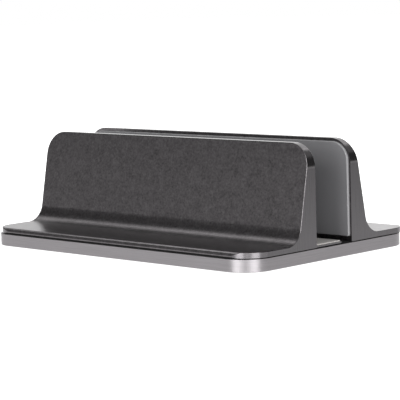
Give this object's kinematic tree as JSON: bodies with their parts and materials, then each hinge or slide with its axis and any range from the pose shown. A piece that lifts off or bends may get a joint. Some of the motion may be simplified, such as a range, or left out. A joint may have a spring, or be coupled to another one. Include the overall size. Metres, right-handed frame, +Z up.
{
  "type": "vertical laptop stand",
  "caption": "Metal desk stand that holds a closed laptop on edge: base plate, a fixed and a sliding upright bracket with soft grip pads, clamped from below.",
  "frame": {"origin": "centre of the stand's footprint, on the surface that it stands on", "axes": "+X along the slot, +Y from the fixed bracket towards the sliding bracket, +Z up"},
  "size_m": [0.17, 0.11, 0.0521],
  "materials": {
    "base_aluminium": "brushed, clear anodised",
    "bracket_aluminium": "fine blasted, dark grey anodised",
    "sheet_plastic": "matt black",
    "grip_silicone": "smooth grey silicone",
    "foot_rubber": "matt black",
    "screw_steel": "plated",
    "washer_steel": "plated"
  },
  "bodies": {
    "base": {"base_plate": "base_aluminium", "glide_sheet": "sheet_plastic", "front_bracket": "bracket_aluminium", "front_grip_pad": "grip_silicone", "slot_floor_pad": "grip_silicone", "left_fixed_screw": "screw_steel", "right_fixed_screw": "screw_steel", "front_left_foot_pad": "foot_rubber", "front_right_foot_pad": "foot_rubber", "rear_left_foot_pad": "foot_rubber", "rear_right_foot_pad": "foot_rubber"},
    "slider": {"rear_bracket": "bracket_aluminium", "rear_grip_pad": "grip_silicone", "left_clamp_washer": "washer_steel", "right_clamp_washer": "washer_steel"},
    "left_clamp": {"left_clamp_screw": "screw_steel"},
    "right_clamp": {"right_clamp_screw": "screw_steel"}
  },
  "joints": [
    {"name": "slot_adjust", "type": "slide", "parent": "base", "child": "slider", "axis": [0, 1, 0], "range_m": [-0.0065, 0.008]},
    {"name": "left_clamp_turn", "type": "hinge", "parent": "slider", "child": "left_clamp", "pos_m": [-0.04, 0.0182, 0.0033], "axis": [0, 0, 1], "range_deg": [-360, 0]},
    {"name": "right_clamp_turn", "type": "hinge", "parent": "slider", "child": "right_clamp", "pos_m": [0.04, 0.0182, 0.0033], "axis": [0, 0, 1], "range_deg": [-360, 0]}
  ]
}
